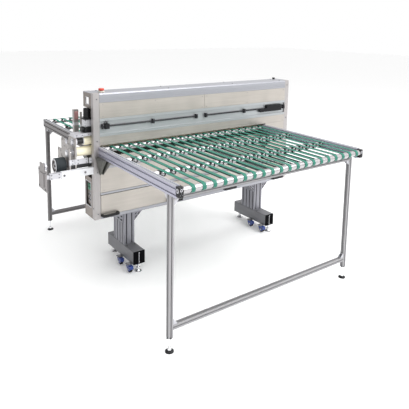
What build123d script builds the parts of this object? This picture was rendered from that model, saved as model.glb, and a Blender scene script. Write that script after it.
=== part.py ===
from build123d import *
import os

# A wide through-feed carton sealing machine: a slim housing carries a pair of nip rollers,
# stands on two pedestals, and has a belt table on its front (outfeed) and back (infeed).
# Millimetres, +Z up, +X along the housing, -Y towards the outfeed table.

# ---- Driving dimensions ----
housing_length = 1840
housing_depth = 170
housing_bottom = 480
housing_top = 1370
table_height = 1000
outfeed_reach = 1015
infeed_reach = 1195
outrigger_reach = 340
belt_count = 20
belt_pitch = 72
belt_width = 24
belt_thickness = 2
sheet = 2
joint_gap = 0.3

# ---- Row frame: origin on the floor under the middle of the whole machine ----
left = -(housing_length - outrigger_reach) / 2
right = left + housing_length
front = (outfeed_reach - infeed_reach) / 2
back = front + housing_depth
middle = front + housing_depth / 2

# ---- Heights of the bands on the housing's front ----
top_rail_low = 1305
cover_low = 1195
channel_low = 1070
apron_low = 1008
sill_top = 927
upper_rib = (840, 858)
lower_rib = (655, 670)
bottom_rail = (480, 500)
lobe_low = 1262
lobe_high = 770

# ---- Housing ----
post_widths = (46, 45)
post_depth = 40
cover_left = left + post_widths[0]
cover_right = right - post_widths[1]
flange_depth = 14
channel_depth = 22
channel_recess = 12
rod_height = 1140
rod_radius = 6
door_axis_height = 640
door_axis_depth = 7
door_limits = (502, 650)
first_handle = 113
handle_pitch = 538
handle_count = 4
handle_width = 130

# ---- Tables ----
rail_width = 30
rail_height = 70
rail_centres = (left + 51, left + 1555)
first_belt = left + 130
inner_span = (left + 84, left + 1522)
roller_span = (left + 68, left + 1538)
roller_radius = 20
roller_height = 973
idler_radius = 19
end_block_x = ((left + 40, left + 66), (left + 1540, left + 1564))
end_block_z = (939, 997)
idler_height = roller_height + roller_radius - idler_radius
collar_radius = 21.5
collar_offset = belt_width / 2 + 5
end_shaft_radius = 8
idler_shaft_radius = 6
running = 0.05
belt_gap = 0.3
leg_bottom = 90
leg_size = 30
side_plate_x = ((left + 70, left + 80), (left + 1526, left + 1536))
back_roller_distance = 75

# ---- Nip rollers and the drive outside the left end ----
nip_shaft_radius = 12
lower_nip = {"height": 965, "radius": 32, "start": left - 97}
upper_nip = {"height": 1037, "radius": 30, "start": left - 42}
nip_end = left + 1690
bearing_plate_x = (left - 118, left - 108)
drive_plate_x = (left - 158, left - 148)
right_plate_x = (left + 1706, left + 1718)
drum_y = front + 110
drum_height = 882
drum_radius = 52
drum_shaft_radius = 10

# ---- Pedestals ----
pedestal_centres = (left + 350, left + 1675)
foot_beam_size = (95, 100)
foot_beam_bottom = 58
foot_beam_y = (front + 13, front + 447)
cap_thickness = 4
column_size = (90, 180)
column_y = (back, back + 180)
base_beam_x = (left + 200, left + 1800)
base_beam_size = (180, 180)
base_beam_bottom = 402
gusset_size = 72
gusset_slots = ((18, 41, 24), (41, 18, 24), (16, 16, 20))
caster_offset = 21
caster_places = (front + 48, front + 200)
caster_trail = 20
wheel_radius = 25
wheel_height = 29
fork_half_width = 15
fork_top = foot_beam_bottom - 0.6
pedestal_foot_places = (front + 24, front + 422)

os.makedirs("parts", exist_ok=True)


def save(builder, name):
    """Label a finished sub-part and write its own file."""
    builder.part.label = name
    export_step(builder.part, f"parts/{name}.step")


def block(x, y, z, mode=Mode.ADD):
    """A rectangular block between three pairs of limits."""
    centre = tuple(sum(limits) / 2 for limits in (x, y, z))
    size = [limits[1] - limits[0] for limits in (x, y, z)]
    with Locations(centre):
        Box(*size, mode=mode)


def rod_x(x, y, z, radius, mode=Mode.ADD):
    """A round bar or bore along X, between two x values."""
    with Locations(Location(((x[0] + x[1]) / 2, y, z), (0, 90, 0))):
        Cylinder(radius, x[1] - x[0], mode=mode)


def rod_z(x, y, z, radius, mode=Mode.ADD):
    """A round bar or bore along Z, between two heights."""
    with Locations((x, y, (z[0] + z[1]) / 2)):
        Cylinder(radius, z[1] - z[0], mode=mode)


def facing_right(x, y, z):
    """A plane across the X direction, with local axes along Y and Z."""
    return Plane((x, y, z), x_dir=(0, 1, 0), z_dir=(1, 0, 0))


def profile(plane, width, height, across, up, groove=8, depth=6):
    """Section of a slotted aluminium profile, with grooves at the places given on its faces."""
    with BuildSketch(plane) as section:
        RectangleRounded(width, height, 1.5)
        for x in across:
            with Locations((x, height / 2), (x, -height / 2)):
                Rectangle(groove, 2 * depth, mode=Mode.SUBTRACT)
        for y in up:
            with Locations((width / 2, y), (-width / 2, y)):
                Rectangle(2 * depth, groove, mode=Mode.SUBTRACT)
    return section.sketch


def pan(x_start, y_front, z, depth=flange_depth):
    """Section of a folded sheet cover: a front face with a flange along its top and bottom."""
    height = z[1] - z[0]
    with BuildSketch(Plane.YZ.offset(x_start)) as section:
        with Locations((y_front + depth / 2, sum(z) / 2)):
            Rectangle(depth, height)
        with Locations((y_front + sheet + depth / 2, sum(z) / 2)):
            Rectangle(depth, height - 2 * sheet, mode=Mode.SUBTRACT)
    return section.sketch


# ---------------------------------------------------------------- housing frame and covers
def make_end_posts():
    with BuildPart() as posts:
        for x_start, width in zip((left, cover_right), post_widths):
            block((x_start, x_start + width), (front, front + post_depth), (housing_bottom, housing_top))
        fillet(posts.edges().filter_by(Axis.Z), 3)
        pin_y = front + door_axis_depth
        rod_x((cover_left - 12, cover_right + 12), pin_y, door_axis_height, 3 + running, Mode.SUBTRACT)
    save(posts, "end_posts")


def make_top_rail():
    height = housing_top - top_rail_low
    with BuildPart() as rail:
        with BuildSketch(Plane.YZ.offset(cover_left)) as section:
            with Locations((middle, (top_rail_low + housing_top) / 2)):
                Rectangle(housing_depth, height)
                fillet(section.vertices().group_by(Axis.Y)[-1], 12)
                Rectangle(housing_depth - 8, height - 8, mode=Mode.SUBTRACT)
            for z in (top_rail_low + 14, top_rail_low + 27):
                with Locations((front, z)):
                    Rectangle(4, 5, mode=Mode.SUBTRACT)
        extrude(amount=cover_right - cover_left)
    save(rail, "top_rail")


def make_end_covers():
    y_range = (front + post_depth, back)
    with BuildPart() as covers:
        block((left, left + 3), y_range, (lobe_low, housing_top))
        block((left, cover_left), y_range, (housing_top - 3, housing_top))
        block((left - 1, left + 4), (front + 72, front + 122), (1290, 1335), Mode.SUBTRACT)
        block((left, left + 3), y_range, (housing_bottom, lobe_high))
        block((left, cover_left), (back - 3, back), (housing_bottom, lobe_high))
        block((left, cover_left), y_range, (housing_bottom, housing_bottom + 3))
        block((left - 1, left + 4), (front + 62, front + 148), (560, 735), Mode.SUBTRACT)
        block((left + 12, left + 15), (front + 54, back - 3), (552, 743))
        block((right - 3, right), y_range, (housing_bottom, housing_top))
        block((cover_right, right), y_range, (housing_top - 3, housing_top))
    save(covers, "end_covers")


def make_front_covers():
    half = (cover_left + cover_right) / 2
    with BuildPart() as covers:
        for x_start, x_end in ((cover_left, half - 1), (half + 1, cover_right)):
            extrude(pan(x_start, front, (cover_low + 1, top_rail_low - 1)), amount=x_end - x_start)
    save(covers, "upper_front_covers")
    with BuildPart() as panels:
        apron = (apron_low, channel_low - 1)
        sill = (upper_rib[1] + 1, sill_top)
        middle_panel = (lower_rib[1] + 1, upper_rib[0] - 1)
        for z in (apron, sill, middle_panel):
            extrude(pan(cover_left, front, z), amount=cover_right - cover_left)
        beside_table = rail_centres[1] + 20
        extrude(pan(beside_table, front, (sill_top + 1, apron_low - 1)), amount=cover_right - beside_table)
    save(panels, "front_panels")


def make_slide_channel():
    with BuildPart() as channel:
        with BuildSketch(Plane.YZ.offset(cover_left)):
            with Locations((front + channel_depth / 2, (channel_low + cover_low) / 2)):
                Rectangle(channel_depth, cover_low - channel_low)
            with Locations((front + channel_recess / 2, (channel_low + cover_low) / 2)):
                Rectangle(channel_recess, 88, mode=Mode.SUBTRACT)
            for z in (channel_low + 9, cover_low - 9):
                with Locations((front, z)):
                    Rectangle(4, 4, mode=Mode.SUBTRACT)
        extrude(amount=cover_right - cover_left)
    save(channel, "slide_channel")


def make_front_ribs():
    with BuildPart() as ribs:
        block((cover_left, cover_right), (front, front + flange_depth), upper_rib)
        block((cover_left, cover_right), (front - 3, front + flange_depth), lower_rib)
        block((cover_left, cover_right), (front, front + post_depth), bottom_rail)
        chamfer(ribs.edges().filter_by(Axis.X).group_by(Axis.Y)[0], 1)
    save(ribs, "front_ribs")


def make_rear_covers():
    with BuildPart() as covers:
        block((cover_left, right - 3), (back - 3, back), (1012, top_rail_low - 1))
        block((cover_left, right - 3), (back - 10, back), (housing_bottom, 925))
        block((cover_left, right - 3), (front + post_depth, back - 10), (housing_bottom, housing_bottom + 3))
    save(covers, "rear_covers")


def make_inner_frame():
    """Cross beams, the plates that carry the tables' inner rollers, and the nips' right bearings."""
    beam_y = (front + 45, front + 125)
    with BuildPart() as inner:
        for z in ((790, 860 - joint_gap), (1100 + joint_gap, 1160)):
            block((cover_left + 4, cover_right - 4), beam_y, z)
            hollow_y = (beam_y[0] + 5, beam_y[1] - 5)
            block((cover_left, cover_right), hollow_y, (z[0] + 5, z[1] - 5), Mode.SUBTRACT)
        for x in side_plate_x:
            block(x, (front + 30, front + 140), (860, 936))
            block(x, (front - 8, front + 178), (936, 988))
            rod_x(x, middle, lower_nip["height"], lower_nip["radius"] + 6, Mode.SUBTRACT)
            block(x, (middle - 38, middle + 38), (lower_nip["height"], 1000), Mode.SUBTRACT)
            for y in (middle - back_roller_distance, middle + back_roller_distance):
                rod_x(x, y, roller_height, end_shaft_radius + running, Mode.SUBTRACT)
        block(right_plate_x, (front + 40, front + 130), (860, 1100))
        for nip in (lower_nip, upper_nip):
            rod_x(right_plate_x, middle, nip["height"], nip_shaft_radius + running, Mode.SUBTRACT)
    save(inner, "inner_frame")


def make_lower_door():
    """A folded panel hung on end pins under the lower rib; it swings outwards from the bottom."""
    door = (cover_left + 2, cover_right - 2)
    with BuildPart() as lower_door:
        extrude(pan(door[0], front, door_limits, 12), amount=door[1] - door[0])
        for x in ((door[0], door[0] + 12), (door[1] - 12, door[1])):
            block(x, (front + sheet, front + 12), (door_axis_height - 6, door_limits[1] - sheet))
        for x in ((door[0] - 10, door[0] + 6), (door[1] - 6, door[1] + 10)):
            rod_x(x, front + door_axis_depth, door_axis_height, 3)
    save(lower_door, "lower_door")


def make_door_handles():
    """Four bow handles along the door's bottom edge."""
    with BuildPart() as handles:
        for index in range(handle_count):
            x_centre = left + first_handle + index * handle_pitch
            with BuildSketch(Plane.XY.offset(498)) as bow:
                with Locations((x_centre, front - 17)):
                    Rectangle(handle_width, 34)
                    fillet(bow.vertices().group_by(Axis.Y)[0], 14)
                with Locations((x_centre, front - 10)):
                    Rectangle(handle_width - 28, 20, mode=Mode.SUBTRACT)
            extrude(amount=16)
    save(handles, "door_handles")


# ---------------------------------------------------------------- rods and carriages on the channel
def make_guide_rods():
    rod_y = front
    rods = ((left + 60, left + 850), (left + 930, left + 1786))
    supports = (60, 455, 838, 930, 1323, 1774)
    with BuildPart() as guides:
        for place in supports:
            x = (left + place, left + place + 14)
            block(x, (front - 13, front + channel_recess), (rod_height - 17, rod_height + 17))
        fillet(guides.edges().filter_by(Axis.X), 3)
        for x in rods:
            rod_x(x, rod_y, rod_height, rod_radius)
    save(guides, "guide_rods")


def make_carriages():
    y_range = (front - 16, front + channel_recess - 1)
    bore = rod_radius + running
    with BuildPart() as clamp:
        block((left + 80, left + 112), y_range, (rod_height - 18, rod_height + 18))
        rod_x((left + 70, left + 120), front, rod_height, bore, Mode.SUBTRACT)
        rod_z(left + 96, front - 6, (rod_height + 18, rod_height + 30), 5)
    save(clamp, "left_carriage")
    with BuildPart() as ribbed:
        block((left + 1498, left + 1745), y_range, (rod_height - 26, rod_height + 2))
        block((left + 1575, left + 1745), y_range, (rod_height + 2, rod_height + 27))
        rod_x((left + 1490, left + 1750), front, rod_height, bore, Mode.SUBTRACT)
        for step in range(19):
            x_start = left + 1508 + 12 * step
            cut_y = (front - 17, front - 12)
            block((x_start, x_start + 4), cut_y, (rod_height - 27, rod_height + 28), Mode.SUBTRACT)
    save(ribbed, "right_carriage")


# ---------------------------------------------------------------- nip rollers and left-end drive
def make_nip_roller(name, nip, shaft_start):
    start = nip["start"]
    with BuildPart() as roller:
        rod_x((start, nip_end), middle, nip["height"], nip["radius"])
        rod_x((shaft_start, left + 1740), middle, nip["height"], nip_shaft_radius)
    save(roller, name)


def make_drive_drum():
    with BuildPart() as drum:
        rod_x((left - 238, left - 168), drum_y, drum_height, drum_radius)
        fillet(drum.edges().filter_by(GeomType.CIRCLE), 3)
        rod_x((left - 240, left - 226), drum_y, drum_height, 40, Mode.SUBTRACT)
        rod_x((left - 244, left - 110), drum_y, drum_height, drum_shaft_radius)
    save(drum, "drive_drum")


def make_outrigger():
    beam_y = (front + 8, front + 38)
    with BuildPart() as beam:
        block((left - 222, left), beam_y, (812, 860))
        block((left - 300, left - 222), beam_y, (820, 858))
        block((left - 330, left - 300), (front + 14, front + 32), (826, 850))
    save(beam, "outrigger_beam")
    plate_y = (front + 38, front + 160)
    with BuildPart() as plates:
        block(bearing_plate_x, plate_y, (820, 1074))
        block(drive_plate_x, plate_y, (820, 1000))
        for x in (bearing_plate_x, drive_plate_x):
            rod_x(x, middle, lower_nip["height"], nip_shaft_radius + running, Mode.SUBTRACT)
            rod_x(x, drum_y, drum_height, drum_shaft_radius + running, Mode.SUBTRACT)
        rod_x(bearing_plate_x, middle, upper_nip["height"], nip_shaft_radius + running, Mode.SUBTRACT)
        block((left - 118, left + 54), (front + 48, front + 122), (1074, 1096))
        block((left - 148, left - 118), (front + 42, front + 50), (888, 924))
        block((left - 108, left - 26), (front + 42, front + 50), (888, 924))
        block((left - 20, left), (front + 30, front + 40), (888, 924))
        block((left - 336, left - 330), (front - 17, front + 135), (750, 890))
        block((left - outrigger_reach, left - 336), (front + 20, front + 98), (775, 865))
        block((left - 338, left - 332), (front + 20, front + 100), (890, 930))
        block((left + 26, left + 34), (front + 510, front + 700), (770, 930))
        block((left + 26, left + 34), (front + 715, front + 800), (746, 835))
        block((left + 26, left + 36), (front + 700, front + 715), (800, 930))
        block((left + 34, left + 69), (front + 442, front + 477), (table_height, 1192))
        block((left + 45, left + 57), (front + 345, front + 357), (table_height, 1190))
    save(plates, "side_plates")


def make_motors():
    x = left - 12
    with BuildPart() as head_motor:
        rod_z(x, middle, (1196, 1262), 22)
        block((x - 30, x + 30), (middle - 30, middle + 30), (1186, 1196))
        block((x - 26, x + 26), (middle - 26, middle + 26), (1138, 1186))
        rod_x((x - 44, x - 26), middle, 1118, 18)
        block((x - 26, x + 26), (middle - 22, middle + 22), (1096, 1138))
    save(head_motor, "head_motor")
    start = right_plate_x[1]
    with BuildPart() as drive_motor:
        flange_z = (lower_nip["height"] - 44, lower_nip["height"] + 38)
        block((start, start + 10), (middle - 44, middle + 44), flange_z)
        rod_x((start + 10, start + 100), middle, lower_nip["height"] - 3, 40)
        rod_x((start, start + 30), middle, lower_nip["height"], nip_shaft_radius + running, Mode.SUBTRACT)
    save(drive_motor, "main_drive_motor")


# ---------------------------------------------------------------- belt tables
tables = {
    "outfeed": {"direction": -1, "rail": (85, 1065), "leg": 993, "idlers": (415, 760), "tip": 1100},
    "infeed": {"direction": 1, "rail": (85, 1075), "leg": 1041, "idlers": (425, 770), "tip": 1110},
}


def end_roller_y(table):
    """The end roller's axis: the belts wrap it and reach the table's tip."""
    wrap = roller_radius + belt_gap + belt_thickness
    return middle + table["direction"] * (table["tip"] - wrap)


def ordered(a, b):
    return (min(a, b), max(a, b))


def make_rails(name, table):
    y = ordered(*[middle + table["direction"] * distance for distance in table["rail"]])
    with BuildPart() as rails:
        for x in rail_centres:
            end_centre = (x, y[1], table_height - rail_height / 2)
            plane = Plane(end_centre, x_dir=(1, 0, 0), z_dir=(0, -1, 0))
            extrude(profile(plane, rail_width, rail_height, (0,), (-17.5, 17.5)), amount=y[1] - y[0])
        for distance in table["idlers"]:
            y_idler = middle + table["direction"] * distance
            bore = (rail_centres[0] + 3, rail_centres[1] - 3)
            rod_x(bore, y_idler, idler_height, idler_shaft_radius + running, Mode.SUBTRACT)
    save(rails, f"{name}_rails")


def make_stand(name, table):
    """Two legs, a low crossbar, two beams under the rails and a strip down the middle."""
    direction = table["direction"]
    leg_y = middle + direction * table["leg"]
    near_y = middle + direction * 225
    top = table_height - rail_height
    span = (rail_centres[0] + leg_size / 2 + joint_gap, rail_centres[1] - leg_size / 2 - joint_gap)
    beams = ((leg_y, 150), (leg_y, top - leg_size / 2), (near_y, top - leg_size / 2))
    with BuildPart() as stand:
        for x in rail_centres:
            section = profile(Plane((x, leg_y, leg_bottom)), leg_size, leg_size, (0,), (0,))
            extrude(section, amount=top - leg_bottom)
        for y, z in beams:
            section = profile(facing_right(span[0], y, z), leg_size, leg_size, (0,), (0,))
            extrude(section, amount=span[1] - span[0])
        strip_x = sum(rail_centres) / 2
        strip_y = ordered(near_y - direction * 15, leg_y)
        block((strip_x - 15, strip_x + 15), strip_y, (top + joint_gap, top + 20))
        for x in rail_centres:
            rod_z(x, leg_y, (leg_bottom, leg_bottom + 60), 6, Mode.SUBTRACT)
    save(stand, f"{name}_stand")


def make_belts(name, table):
    """Flat belts, each one closed loop round the inner roller and the end roller."""
    inner_y = middle + table["direction"] * back_roller_distance
    outer_y = end_roller_y(table)
    inside = roller_radius + belt_gap
    centre = ((inner_y + outer_y) / 2, roller_height)
    length = abs(outer_y - inner_y)
    with BuildPart() as belts:
        for index in range(belt_count):
            with BuildSketch(Plane.YZ.offset(first_belt + index * belt_pitch - belt_width / 2)):
                with Locations(centre):
                    SlotCenterToCenter(length, 2 * (inside + belt_thickness))
                    SlotCenterToCenter(length, 2 * inside, mode=Mode.SUBTRACT)
            extrude(amount=belt_width)
    save(belts, f"{name}_belts")


def make_table_rollers(name, table):
    direction = table["direction"]
    with BuildPart() as end_roller:
        rod_x(roller_span, end_roller_y(table), roller_height, roller_radius)
        shaft = (end_block_x[0][0] + 6, end_block_x[1][1] - 6)
        rod_x(shaft, end_roller_y(table), roller_height, end_shaft_radius)
    save(end_roller, f"{name}_end_roller")
    inner_y = middle + direction * back_roller_distance
    with BuildPart() as inner_roller:
        rod_x(inner_span, inner_y, roller_height, roller_radius)
        rod_x((side_plate_x[0][0] + 2, side_plate_x[1][1] - 2), inner_y, roller_height, end_shaft_radius)
    save(inner_roller, f"{name}_inner_roller")
    for number, distance in enumerate(table["idlers"], start=1):
        y = middle + direction * distance
        with BuildPart() as idler:
            rod_x(roller_span, y, idler_height, idler_radius)
            rod_x((rail_centres[0] + 5, rail_centres[1] - 5), y, idler_height, idler_shaft_radius)
            for index in range(belt_count):
                for side in (-1, 1):
                    x = first_belt + index * belt_pitch + side * collar_offset
                    rod_x((x - 4, x + 4), y, idler_height, collar_radius)
        save(idler, f"{name}_idler_{number}")


def make_roller_end_brackets():
    """Black blocks on the rails' ends that carry the end rollers' shafts."""
    with BuildPart() as brackets:
        for table in tables.values():
            rail_end = middle + table["direction"] * table["rail"][1]
            tip = middle + table["direction"] * (table["tip"] - 3)
            for x in end_block_x:
                block(x, ordered(rail_end, tip), end_block_z)
            bore = (end_block_x[0][0] + 4, end_block_x[1][1] - 4)
            rod_x(bore, end_roller_y(table), roller_height, end_shaft_radius + running, Mode.SUBTRACT)
        fillet(brackets.edges().filter_by(Axis.X).filter_by(lambda edge: edge.length > 20), 3)
    save(brackets, "roller_end_brackets")


# ---------------------------------------------------------------- brackets
def make_gussets():
    rail_low = table_height - rail_height
    with BuildPart() as gussets:
        for wall, direction in ((front, -1), (back, 1)):
            for x in rail_centres:
                with BuildSketch(Plane.XY.offset(rail_low - 126)):
                    with Locations((x, wall + direction * 8)):
                        Rectangle(24, 16)
                with BuildSketch(Plane.XY.offset(rail_low)):
                    with Locations((x, wall + direction * 58)):
                        Rectangle(82, 116)
                loft()
                y = ordered(wall + direction * 5, wall + direction * 130)
                block((x - 10, x + 10), y, (rail_low - 130, rail_low - 5), Mode.SUBTRACT)
        for centre in pedestal_centres:
            for side in (-1, 1):
                face = centre + side * column_size[0] / 2
                with BuildSketch(Plane.XZ.offset(-(back + 6))):
                    with BuildLine():
                        Polyline(
                            (face, base_beam_bottom), (face + side * gusset_size, base_beam_bottom),
                            (face, base_beam_bottom - gusset_size), close=True,
                        )
                    make_face()
                    for across, down, length in gusset_slots:
                        spot = Location((face + side * across, base_beam_bottom - down, 0), (0, 0, side * 45))
                        with Locations(spot):
                            SlotOverall(length, 9, mode=Mode.SUBTRACT)
                extrude(amount=-120)
    save(gussets, "gusset_brackets")


# ---------------------------------------------------------------- pedestals
def make_pedestals():
    width, height = foot_beam_size
    top = foot_beam_bottom + height
    with BuildPart() as beams:
        for x in pedestal_centres:
            block((x - width / 2, x + width / 2), foot_beam_y, (foot_beam_bottom, top))
        fillet(beams.edges().filter_by(Axis.Y), 5)
        for x in pedestal_centres:
            inner = (x - width / 2 + 5, x + width / 2 - 5)
            block(inner, foot_beam_y, (foot_beam_bottom + 5, top - 5), Mode.SUBTRACT)
            for y in caster_places:
                edge = x - width / 2
                block((edge - 40, edge + 4), (y - 20, y + 20), (foot_beam_bottom, foot_beam_bottom + 6))
                lug_z = (foot_beam_bottom - 1, foot_beam_bottom + 7)
                rod_z(edge - caster_offset, y, lug_z, 6 + running, Mode.SUBTRACT)
            for y in pedestal_foot_places:
                rod_z(x, y, (foot_beam_bottom - 1, foot_beam_bottom + 6), 8.5, Mode.SUBTRACT)
    save(beams, "foot_beams")
    with BuildPart() as caps:
        for x in pedestal_centres:
            front_cap = (foot_beam_y[0] - cap_thickness, foot_beam_y[0])
            back_cap = (foot_beam_y[1], foot_beam_y[1] + cap_thickness)
            for y in (front_cap, back_cap):
                block((x - width / 2, x + width / 2), y, (foot_beam_bottom, top))
                block((x - 4, x + 4), y, (foot_beam_bottom + 16, top - 16), Mode.SUBTRACT)
    save(caps, "foot_beam_caps")
    with BuildPart() as columns:
        for x in pedestal_centres:
            plane = Plane((x, sum(column_y) / 2, top))
            section = profile(plane, *column_size, (-22.5, 22.5), (-67.5, -22.5, 22.5, 67.5), 9, 8)
            extrude(section, amount=base_beam_bottom - top)
            for y in (-60, -20, 20, 60):
                rod_z(x, sum(column_y) / 2 + y, (top, base_beam_bottom), 13, Mode.SUBTRACT)
    save(columns, "columns")
    with BuildPart() as base:
        beam_centre = (sum(column_y) / 2, base_beam_bottom + base_beam_size[1] / 2)
        grooves = (-67.5, -22.5, 22.5, 67.5)
        section = profile(facing_right(base_beam_x[0], *beam_centre), *base_beam_size, grooves, grooves, 9, 8)
        extrude(section, amount=base_beam_x[1] - base_beam_x[0])
        for across in (-45, 45):
            for up in (-45, 45):
                rod_x(base_beam_x, beam_centre[0] + across, beam_centre[1] + up, 34, Mode.SUBTRACT)
    save(base, "base_beam")


def make_casters():
    """Swivel forks under side lugs of the foot beams, each with a trailing wheel."""
    number = 0
    for x_beam in pedestal_centres:
        x = x_beam - foot_beam_size[0] / 2 - caster_offset
        for y in caster_places:
            number += 1
            axle_y = y - caster_trail
            with BuildPart() as fork:
                rod_z(x, y, (foot_beam_bottom - 3, foot_beam_bottom + 6), 6)
                with BuildSketch(Plane.YZ.offset(x - fork_half_width)):
                    with BuildLine():
                        Polyline(
                            (axle_y - 29, fork_top), (y + 12, fork_top), (y + 12, 46), (axle_y + 15, 15),
                            (axle_y - 12, 15), (axle_y - 29, 34), close=True,
                        )
                    make_face()
                extrude(amount=2 * fork_half_width)
                inside = (x - fork_half_width + 3.5, x + fork_half_width - 3.5)
                block(inside, (axle_y - 26.2, y + 20), (0, fork_top - 3), Mode.SUBTRACT)
                rod_x((x - fork_half_width, x + fork_half_width), axle_y, wheel_height, 4)
            save(fork, f"caster_fork_{number}")
            with BuildPart() as wheel:
                rod_x((x - 11, x + 11), axle_y, wheel_height, wheel_radius)
                fillet(wheel.edges().filter_by(GeomType.CIRCLE), 3)
                rod_x((x - 12, x + 12), axle_y, wheel_height, 4 + running, Mode.SUBTRACT)
            save(wheel, f"caster_wheel_{number}")


def make_level_foot(name, x, y, pad_radius, stem_radius, stem_top):
    """A threaded stem standing in a domed pad."""
    with BuildPart() as foot:
        with BuildSketch(Plane.XZ.offset(-y)):
            with BuildLine():
                Polyline((x, 0), (x + pad_radius, 0), (x + pad_radius, 6), (x + pad_radius * 0.55, 14),
                         (x + stem_radius + 5, 16), (x + stem_radius + 5, 24), (x + stem_radius, 24),
                         (x + stem_radius, stem_top), (x, stem_top), close=True)
            make_face()
        revolve(axis=Axis((x, y, 0), (0, 0, 1)))
    save(foot, name)


def make_feet():
    number = 0
    for x in pedestal_centres:
        for y in pedestal_foot_places:
            number += 1
            make_level_foot(f"pedestal_foot_{number}", x, y, 27, 8, 100)
    for name, table in tables.items():
        for side, x in zip(("left", "right"), rail_centres):
            y = middle + table["direction"] * table["leg"]
            make_level_foot(f"{name}_{side}_foot", x, y, 25, 5, 140)


# ---------------------------------------------------------------- small fittings
def make_fittings():
    x, y = left + 82, front + 50
    with BuildPart() as fittings:
        rod_z(x, y, (housing_top, housing_top + 9.5), 22)
        rod_z(x, y, (housing_top + 1, housing_top + 10), 10.5, Mode.SUBTRACT)
        rod_z(left + 1785, front + 140, (housing_top, housing_top + 14), 12)
    save(fittings, "top_fittings")
    with BuildPart() as button:
        rod_z(x, y, (housing_top + 6, housing_top + 16), 10)
        rod_z(x, y, (housing_top + 14, housing_top + 28), 20)
        fillet(button.edges().filter_by(GeomType.CIRCLE).group_by(Axis.Z)[-1], 6)
    save(button, "emergency_stop_button")


def make_screws():
    """Round screw heads that hold the front covers."""
    along = (70, 480, 900, 942, 1360, 1775)
    with BuildPart() as screws:
        for z in (cover_low + 14, top_rail_low - 14):
            for place in along:
                with Locations(Location((left + place, front - 1, z), (90, 0, 0))):
                    Cylinder(4, 2)
        for z in (lower_rib[1] + 16, apron_low + 14):
            for place in (70, 920, 1775):
                with Locations(Location((left + place, front - 1, z), (90, 0, 0))):
                    Cylinder(4, 2)
    save(screws, "panel_screws")


make_end_posts()
make_top_rail()
make_end_covers()
make_front_covers()
make_slide_channel()
make_front_ribs()
make_rear_covers()
make_inner_frame()
make_lower_door()
make_door_handles()
make_guide_rods()
make_carriages()
make_nip_roller("lower_nip_roller", lower_nip, drive_plate_x[0] - 6)
make_nip_roller("upper_nip_roller", upper_nip, bearing_plate_x[0] - 4)
make_drive_drum()
make_outrigger()
make_motors()
for table_name, table_data in tables.items():
    make_rails(table_name, table_data)
    make_stand(table_name, table_data)
    make_belts(table_name, table_data)
    make_table_rollers(table_name, table_data)
make_roller_end_brackets()
make_gussets()
make_pedestals()
make_casters()
make_feet()
make_fittings()
make_screws()
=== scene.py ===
import math

import bmesh
import bpy
from mathutils import Matrix, Vector


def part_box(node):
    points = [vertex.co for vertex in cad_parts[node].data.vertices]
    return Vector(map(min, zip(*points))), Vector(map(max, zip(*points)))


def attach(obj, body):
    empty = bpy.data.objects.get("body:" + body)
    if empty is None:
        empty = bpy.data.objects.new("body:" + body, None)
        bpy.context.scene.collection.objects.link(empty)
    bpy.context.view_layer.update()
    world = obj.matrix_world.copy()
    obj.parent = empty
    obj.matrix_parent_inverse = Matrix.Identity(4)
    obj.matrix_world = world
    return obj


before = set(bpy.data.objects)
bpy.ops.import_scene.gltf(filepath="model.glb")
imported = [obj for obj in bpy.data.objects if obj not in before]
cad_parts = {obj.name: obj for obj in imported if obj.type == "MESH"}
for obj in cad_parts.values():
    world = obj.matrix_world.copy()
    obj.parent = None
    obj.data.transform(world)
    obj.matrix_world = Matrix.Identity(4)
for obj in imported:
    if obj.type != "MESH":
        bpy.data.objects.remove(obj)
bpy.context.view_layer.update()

# ---------------------------------------------------------------- places read from the frame
MM = 0.001
posts_low, posts_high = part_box("end_posts")
left, right, front = posts_low.x, posts_high.x, posts_low.y
housing_top = posts_high.z
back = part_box("rear_covers")[1].y
root = "frame"
table_names = ("outfeed", "infeed")

# ---------------------------------------------------------------- sizes in millimetres that no box gives
HANDLE_WIDTH = 130
CASTER_TRAIL = 20
COLUMN_HALF = 45
LEG_BOTTOM, CROSSBAR_TOP = 90, 165
ROD_HEIGHT = 1140
# Places along the housing, from its left end.
PEDESTAL_PLACES = (350, 1675)
ROD_SUPPORTS = (60, 455, 838, 930, 1323, 1774)
BEARING_PLATE, DRIVE_PLATE, END_PLATE_FACE, UPRIGHT_PLATE = -118, -158, -336, 26

# ---------------------------------------------------------------- strengths of the surroundings
WORLD_DIM, WORLD_BRIGHT = 0.16, 1.22
WORLD_BRIGHT_SIDE = (0.68, -0.42, 0.60)
WORLD_SPREAD = 0.9
FLOOR_GLOW = 0.10
FLOOR_HALF = 30


def centre_of(node):
    low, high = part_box(node)
    return (low + high) / 2


def at(x, y, z):
    """A place given in millimetres from the housing's left end, from its front, and from the floor."""
    return Vector((left + x * MM, front + y * MM, z * MM))


# ---------------------------------------------------------------- materials
# A tone is (base colour, roughness, metallic).
STAINLESS = ((0.455, 0.425, 0.390), 0.40, 0.75)
# Painted shade, in part: the end covers' darker tone is partly the steel's own and partly stands for the
# shade on them.
STAINLESS_END_AND_SHADE = ((0.250, 0.220, 0.200), 0.45, 0.60)
ALUMINIUM = ((0.350, 0.355, 0.385), 0.38, 0.55)
CHANNEL_ALUMINIUM = ((0.420, 0.440, 0.450), 0.38, 0.55)
# Painted light, in part: the posts' tone is aluminium made lighter to stand for the light on them.
POST_ALUMINIUM_AND_LIGHT = ((0.400, 0.380, 0.378), 0.42, 0.55)
# Painted shade, in part: the outfeed legs' tone is aluminium made darker to stand for the shade on them.
LEG_ALUMINIUM_AND_SHADE = ((0.330, 0.325, 0.335), 0.42, 0.50)
# Painted light, in part: the outfeed rails' tone is aluminium made lighter to stand for the light on them.
RAIL_ALUMINIUM_AND_LIGHT = ((0.450, 0.450, 0.535), 0.40, 0.50)
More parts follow.
